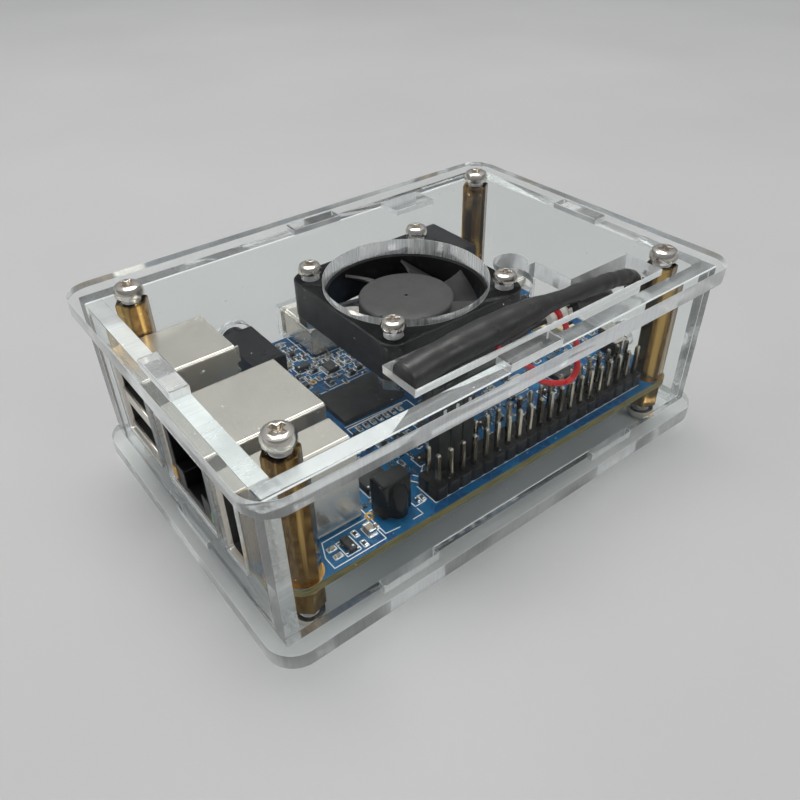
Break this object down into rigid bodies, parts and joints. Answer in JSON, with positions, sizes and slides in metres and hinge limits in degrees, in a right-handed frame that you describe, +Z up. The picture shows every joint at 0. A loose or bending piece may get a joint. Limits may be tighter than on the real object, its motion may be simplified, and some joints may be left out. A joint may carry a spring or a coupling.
{
  "type": "single board computer",
  "caption": "Single board computer between clear laser-cut acrylic panels on brass spacers, with a cooling fan hung under the lid and its lead arching through a slot.",
  "frame": {"origin": "on the ground under the middle of the case, level with the undersides of the bottom screw heads that the case stands on", "axes": "+Z up through the lid; +X along the case's long side, away from the USB and network sockets; +Y across the case, away from the pin header and towards the video and power sockets"},
  "size_m": [0.097, 0.0676, 0.0378],
  "materials": {
    "acrylic": "polished clear sheet with frosted laser-cut edges",
    "brass": "turned, slightly dulled",
    "nickel": "warm nickel plate",
    "tinplate": "satin pressed sheet",
    "black_plastic": "fine moulded grain",
    "grey_plastic": "fine moulded grain",
    "solder_mask": "blue solder mask over fibreglass",
    "chip_black": "moulded epoxy",
    "steel": "ground",
    "copper": "enamelled winding wire",
    "heat_shrink": "matte",
    "red_insulation": "soft vinyl",
    "white_plastic": "moulded",
    "lens_black": "polished dark lens"
  },
  "bodies": {
    "case_and_board": {"bottom_panel": "acrylic", "lid_panel": "acrylic", "front_wall": "acrylic", "back_wall": "acrylic", "left_wall": "acrylic", "right_wall": "acrylic", "upper_spacer_front_left": "brass", "lower_spacer_front_left": "brass", "lid_screw_front_left": "nickel", "floor_screw_front_left": "nickel", "fan_screw_front_left": "nickel", "fan_nut_front_left": "nickel", "upper_spacer_front_right": "brass", "lower_spacer_front_right": "brass", "lid_screw_front_right": "nickel", "floor_screw_front_right": "nickel", "fan_screw_front_right": "nickel", "fan_nut_front_right": "nickel", "upper_spacer_back_right": "brass", "lower_spacer_back_right": "brass", "lid_screw_back_right": "nickel", "floor_screw_back_right": "nickel", "fan_screw_back_right": "nickel", "fan_nut_back_right": "nickel", "upper_spacer_back_left": "brass", "lower_spacer_back_left": "brass", "lid_screw_back_left": "nickel", "floor_screw_back_left": "nickel", "fan_screw_back_left": "nickel", "fan_nut_back_left": "nickel", "fan_frame": "black_plastic", "fan_stator": "copper", "circuit_board": "solder_mask", "processor": "chip_black", "memory_left": "chip_black", "memory_right": "chip_black", "usb_stack": "tinplate", "usb_single": "tinplate", "network_socket": "tinplate", "hdmi_socket": "tinplate", "power_socket": "black_plastic", "audio_socket": "black_plastic", "micro_usb_socket": "tinplate", "ribbon_connector": "white_plastic", "card_socket": "tinplate", "power_button_housing": "tinplate", "pin_header": "black_plastic", "serial_header": "black_plastic", "infrared_receiver": "lens_black", "lead_plug": "black_plastic", "cable_sleeve": "heat_shrink", "fan_lead": "heat_shrink", "red_wire": "red_insulation", "black_wire": "heat_shrink"},
    "fan_wheel": {"fan_rotor": "grey_plastic", "fan_shaft": "steel"},
    "card": {"memory_card": "chip_black"},
    "button": {"power_button": "black_plastic"},
    "latch": {"ribbon_latch": "black_plastic"}
  },
  "joints": [
    {"name": "fan_spin", "type": "hinge", "parent": "case_and_board", "child": "fan_wheel", "pos_m": [0.0003, -0.0003, 0.029], "axis": [0, 0, 1], "continuous": true},
    {"name": "card_slide", "type": "slide", "parent": "case_and_board", "child": "card", "axis": [1, 0, 0], "range_m": [0, 0.016]},
    {"name": "button_press", "type": "slide", "parent": "case_and_board", "child": "button", "axis": [-1, 0, 0], "range_m": [0, 0.00025]},
    {"name": "latch_flip", "type": "hinge", "parent": "case_and_board", "child": "latch", "pos_m": [0.0361, -0.001, 0.01315], "axis": [0, -1, 0], "range_deg": [0, 90]}
  ]
}
